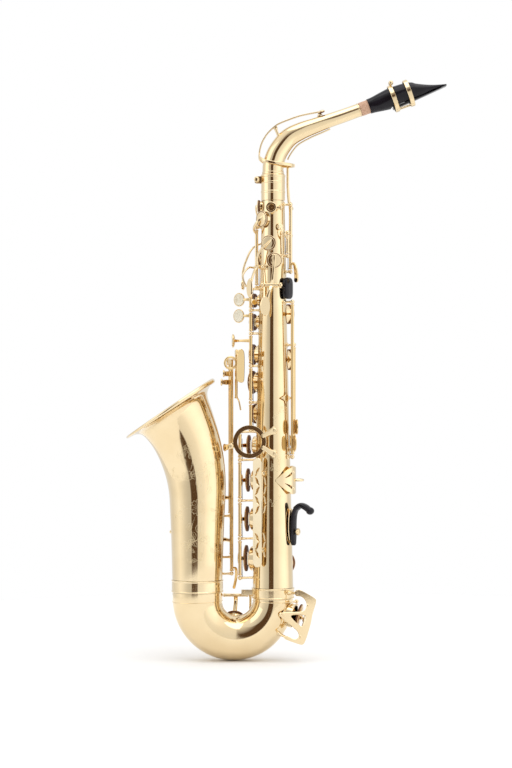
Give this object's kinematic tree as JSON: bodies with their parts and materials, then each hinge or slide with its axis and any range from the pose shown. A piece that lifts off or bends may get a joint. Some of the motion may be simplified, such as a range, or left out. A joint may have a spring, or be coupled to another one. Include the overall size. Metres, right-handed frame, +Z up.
{
  "type": "alto saxophone",
  "caption": "Alto saxophone in gold lacquer: conical body, bow and bell, curved neck, black mouthpiece, and hinged keys closing padded tone holes.",
  "frame": {"origin": "centre of the eye of the strap ring on the back of the body", "axes": "+Z up along the body tube towards the neck, +X towards the player and the mouthpiece, -X towards the bell"},
  "size_m": [0.3741, 0.1236, 0.6783],
  "materials": {
    "lacquered_brass": "clear gold lacquer over polished brass",
    "ebonite": "polished black",
    "cork": "sanded cork",
    "pad_leather": "tan-brown key pad leather",
    "pearl": "mother-of-pearl touch",
    "steel": "blued steel needle springs"
  },
  "bodies": {
    "root": {"body_tube": "lacquered_brass", "neck_receiver": "lacquered_brass", "bow": "lacquered_brass", "body_bow_ferrule": "lacquered_brass", "bell_bow_ferrule": "lacquered_brass", "bell": "lacquered_brass", "bell_brace": "lacquered_brass", "strap_ring": "lacquered_brass", "thumb_hook": "ebonite", "thumb_hook_plate": "lacquered_brass", "thumb_rest": "ebonite", "lyre_holder": "lacquered_brass", "bell_key_guard": "lacquered_brass", "clothes_guard": "lacquered_brass", "clothes_guard_pillar_top": "lacquered_brass", "clothes_guard_pillar_bottom": "lacquered_brass", "low_C_guard": "lacquered_brass"},
    "neck": {"neck_tube": "lacquered_brass", "neck_brace": "lacquered_brass", "neck_cork": "cork"},
    "mouthpiece": {"mouthpiece": "ebonite", "reed": "ebonite", "ligature": "lacquered_brass"},
    "C_key": {"C_key": "lacquered_brass"},
    "B_key": {"B_key": "lacquered_brass"},
    "A_key": {"A_key": "lacquered_brass"},
    "G_key": {"G_key": "lacquered_brass"},
    "G_sharp_key": {"G_sharp_key": "lacquered_brass"},
    "F_sharp_key": {"F_sharp_key": "lacquered_brass"},
    "F_key": {"F_key": "lacquered_brass"},
    "E_key": {"E_key": "lacquered_brass"},
    "D_key": {"D_key": "lacquered_brass"},
    "palm_D_key": {"palm_D_key": "lacquered_brass"},
    "palm_F_key": {"palm_F_key": "lacquered_brass"},
    "front_F_key": {"front_F_key": "lacquered_brass"},
    "high_E_key": {"high_E_key": "lacquered_brass"},
    "side_C_key": {"side_C_key": "lacquered_brass"},
    "side_Bb_key": {"side_Bb_key": "lacquered_brass"},
    "octave_lever": {"octave_lever": "lacquered_brass"},
    "body_octave_key": {"body_octave_key": "lacquered_brass"},
    "low_Bb_key": {"low_Bb_key": "lacquered_brass"},
    "low_B_key": {"low_B_key": "lacquered_brass"},
    "low_Cs_lever": {"low_Cs_lever": "lacquered_brass"},
    "low_Cs_key": {"low_Cs_key": "lacquered_brass"},
    "G_sharp_lever": {"G_sharp_lever": "lacquered_brass"},
    "low_Eb_key": {"low_Eb_key": "lacquered_brass"},
    "low_C_lever": {"low_C_lever": "lacquered_brass"},
    "low_C_key": {"low_C_key": "lacquered_brass"},
    "palm_Eb_key": {"palm_Eb_key": "lacquered_brass"},
    "neck_octave_key": {"neck_octave_key": "lacquered_brass"},
    "receiver_screw": {"receiver_screw": "lacquered_brass"},
    "ligature_screw": {"ligature_screw": "lacquered_brass"},
    "lyre_screw": {"lyre_screw": "lacquered_brass"},
    "thumb_hook_screw": {"thumb_hook_screw": "lacquered_brass"}
  },
  "joints": [
    {"name": "C_key_hinge", "type": "hinge", "parent": "root", "child": "C_key", "pos_m": [-0.056, -0.007, 0.2107], "axis": [0, 0, -1], "range_deg": [0, 14], "stiffness_Nm_per_rad": 0.03, "springref_deg": -22.92},
    {"name": "B_key_hinge", "type": "hinge", "parent": "root", "child": "B_key", "pos_m": [-0.056, -0.007, 0.1848], "axis": [0, 0, -1], "range_deg": [0, 14], "stiffness_Nm_per_rad": 0.03, "springref_deg": -22.92},
    {"name": "A_key_hinge", "type": "hinge", "parent": "root", "child": "A_key", "pos_m": [-0.056, -0.007, 0.1523], "axis": [0, 0, -1], "range_deg": [0, 14], "stiffness_Nm_per_rad": 0.03, "springref_deg": -22.92},
    {"name": "G_key_hinge", "type": "hinge", "parent": "root", "child": "G_key", "pos_m": [-0.056, -0.007, 0.1121], "axis": [0, 0, -1], "range_deg": [0, 14], "stiffness_Nm_per_rad": 0.03, "springref_deg": -22.92},
    {"name": "G_sharp_key_hinge", "type": "hinge", "parent": "root", "child": "G_sharp_key", "pos_m": [-0.056, -0.007, 0.0749], "axis": [0, 0, 1], "range_deg": [0, 11], "stiffness_Nm_per_rad": 0.03, "springref_deg": -22.92},
    {"name": "F_sharp_key_hinge", "type": "hinge", "parent": "root", "child": "F_sharp_key", "pos_m": [-0.0686, -0.0105, 0.0402], "axis": [0, 0, -1], "range_deg": [0, 14], "stiffness_Nm_per_rad": 0.03, "springref_deg": -22.92},
    {"name": "F_key_hinge", "type": "hinge", "parent": "root", "child": "F_key", "pos_m": [-0.0686, -0.0105, 0.0001], "axis": [0, 0, -1], "range_deg": [0, 14], "stiffness_Nm_per_rad": 0.03, "springref_deg": -22.92},
    {"name": "E_key_hinge", "type": "hinge", "parent": "root", "child": "E_key", "pos_m": [-0.0686, -0.0105, -0.0457], "axis": [0, 0, -1], "range_deg": [0, 14], "stiffness_Nm_per_rad": 0.03, "springref_deg": -22.92},
    {"name": "D_key_hinge", "type": "hinge", "parent": "root", "child": "D_key", "pos_m": [-0.0686, -0.0105, -0.0907], "axis": [0, 0, -1], "range_deg": [0, 14], "stiffness_Nm_per_rad": 0.03, "springref_deg": -22.92},
    {"name": "palm_D_key_hinge", "type": "hinge", "parent": "root", "child": "palm_D_key", "pos_m": [-0.032, -0.021, 0.2272], "axis": [1, 0, 0], "range_deg": [0, 13], "stiffness_Nm_per_rad": 0.03, "springref_deg": -22.92},
    {"name": "palm_F_key_hinge", "type": "hinge", "parent": "root", "child": "palm_F_key", "pos_m": [-0.0492, 0.0048, 0.2604], "axis": [0, 0, -1], "range_deg": [0, 10], "stiffness_Nm_per_rad": 0.03, "springref_deg": -22.92},
    {"name": "front_F_key_hinge", "type": "hinge", "parent": "root", "child": "front_F_key", "pos_m": [-0.038, 0.018, 0.2909], "axis": [0, 0, -1], "range_deg": [0, 10], "stiffness_Nm_per_rad": 0.03, "springref_deg": -22.92},
    {"name": "high_E_key_hinge", "type": "hinge", "parent": "root", "child": "high_E_key", "pos_m": [-0.026, 0.025, 0.1494], "axis": [0, 0, -1], "range_deg": [0, 12], "stiffness_Nm_per_rad": 0.03, "springref_deg": -22.92},
    {"name": "side_C_key_hinge", "type": "hinge", "parent": "root", "child": "side_C_key", "pos_m": [-0.0075, -0.0115, 0.1177], "axis": [0, 0, -1], "range_deg": [0, 11], "stiffness_Nm_per_rad": 0.03, "springref_deg": -22.92},
    {"name": "side_Bb_key_hinge", "type": "hinge", "parent": "root", "child": "side_Bb_key", "pos_m": [-0.0055, -0.005, 0.0967], "axis": [0, 0, -1], "range_deg": [0, 11], "stiffness_Nm_per_rad": 0.03, "springref_deg": -22.92},
    {"name": "octave_lever_hinge", "type": "hinge", "parent": "root", "child": "octave_lever", "pos_m": [-0.0095, -0.003, 0.2824], "axis": [0, 0, -1], "range_deg": [0, 10], "stiffness_Nm_per_rad": 0.03, "springref_deg": -22.92},
    {"name": "body_octave_key_hinge", "type": "hinge", "parent": "root", "child": "body_octave_key", "pos_m": [-0.013, -0.0125, 0.2754], "axis": [0, 0, 1], "range_deg": [0, 12], "stiffness_Nm_per_rad": 0.03, "springref_deg": -22.92},
    {"name": "low_Bb_key_hinge", "type": "hinge", "parent": "root", "child": "low_Bb_key", "pos_m": [-0.0805, 0.0275, 0.0474], "axis": [0, 0, 1], "range_deg": [0, 8.8], "stiffness_Nm_per_rad": 0.03, "springref_deg": -22.92},
    {"name": "low_B_key_hinge", "type": "hinge", "parent": "root", "child": "low_B_key", "pos_m": [-0.079, 0.0205, 0.0193], "axis": [0, 0, 1], "range_deg": [0, 8.8], "stiffness_Nm_per_rad": 0.03, "springref_deg": -22.92},
    {"name": "low_Cs_lever_hinge", "type": "hinge", "parent": "root", "child": "low_Cs_lever", "pos_m": [-0.0785, 0.0135, 0.0164], "axis": [0, 0, 1], "range_deg": [0, 8], "stiffness_Nm_per_rad": 0.03, "springref_deg": -22.92},
    {"name": "low_Cs_key_hinge", "type": "hinge", "parent": "root", "child": "low_Cs_key", "pos_m": [-0.074, 0.0345, -0.1381], "axis": [1, 0, 0], "range_deg": [0, 14], "stiffness_Nm_per_rad": 0.03, "springref_deg": -22.92},
    {"name": "G_sharp_lever_hinge", "type": "hinge", "parent": "root", "child": "G_sharp_lever", "pos_m": [-0.073, 0.006, 0.1234], "axis": [0, 0, 1], "range_deg": [0, 7], "stiffness_Nm_per_rad": 0.03, "springref_deg": -22.92},
    {"name": "low_Eb_key_hinge", "type": "hinge", "parent": "root", "child": "low_Eb_key", "pos_m": [-0.026, 0.0345, -0.0696], "axis": [0, 0, 1], "range_deg": [0, 12], "stiffness_Nm_per_rad": 0.03, "springref_deg": -22.92},
    {"name": "low_C_lever_hinge", "type": "hinge", "parent": "root", "child": "low_C_lever", "pos_m": [-0.036, 0.0365, -0.0646], "axis": [0, 0, 1], "range_deg": [0, 10], "stiffness_Nm_per_rad": 0.03, "springref_deg": -22.92},
    {"name": "low_C_key_hinge", "type": "hinge", "parent": "root", "child": "low_C_key", "pos_m": [-0.002, 0.021, -0.1554], "axis": [0, 0, -1], "range_deg": [0, 7], "stiffness_Nm_per_rad": 0.03, "springref_deg": -22.92},
    {"name": "palm_Eb_key_hinge", "type": "hinge", "parent": "root", "child": "palm_Eb_key", "pos_m": [-0.04781, -0.01113, 0.2484], "axis": [0.5299, -0.848, 0], "range_deg": [0, 13], "stiffness_Nm_per_rad": 0.03, "springref_deg": -22.92},
    {"name": "neck_octave_key_hinge", "type": "hinge", "parent": "neck", "child": "neck_octave_key", "pos_m": [-0.027, 0, 0.4119], "axis": [0, -1, 0], "range_deg": [0, 2.6], "stiffness_Nm_per_rad": 0.03, "springref_deg": -22.92},
    {"name": "neck_swivel", "type": "hinge", "parent": "root", "child": "neck", "pos_m": [-0.03, 0, 0.3494], "axis": [0, 0, 1], "range_deg": [0, 10]},
    {"name": "mouthpiece_tuning_slide", "type": "slide", "parent": "neck", "child": "mouthpiece", "axis": [0.9397, 0, 0.342], "range_m": [0, 0.008]},
    {"name": "receiver_screw_turn", "type": "hinge", "parent": "root", "child": "receiver_screw", "pos_m": [-0.049, -0.0054, 0.351], "axis": [0, -1, 0], "range_deg": [0, 360]},
    {"name": "ligature_screw_turn", "type": "hinge", "parent": "mouthpiece", "child": "ligature_screw", "pos_m": [0.10761, -0.0042, 0.46401], "axis": [0, -1, 0], "range_deg": [0, 360]},
    {"name": "lyre_screw_turn", "type": "hinge", "parent": "root", "child": "lyre_screw", "pos_m": [-0.02248, -0.01931, 0.3174], "axis": [0.9945, -0.1045, 0], "range_deg": [0, 360]},
    {"name": "thumb_hook_screw_turn", "type": "hinge", "parent": "root", "child": "thumb_hook_screw", "pos_m": [-0.00367, -0.01341, -0.0596], "axis": [0.891, -0.454, 0], "range_deg": [0, 360]}
  ],
  "couplings": [
    {"joint": "neck_octave_key_hinge", "follows": "octave_lever_hinge", "ratio": 0.24},
    {"joint": "F_sharp_key_hinge", "follows": "F_key_hinge", "ratio": 1},
    {"joint": "G_sharp_key_hinge", "follows": "G_sharp_lever_hinge", "ratio": 1.5},
    {"joint": "low_Cs_key_hinge", "follows": "low_Cs_lever_hinge", "ratio": 1.7},
    {"joint": "low_C_key_hinge", "follows": "low_C_lever_hinge", "ratio": 0.68}
  ]
}
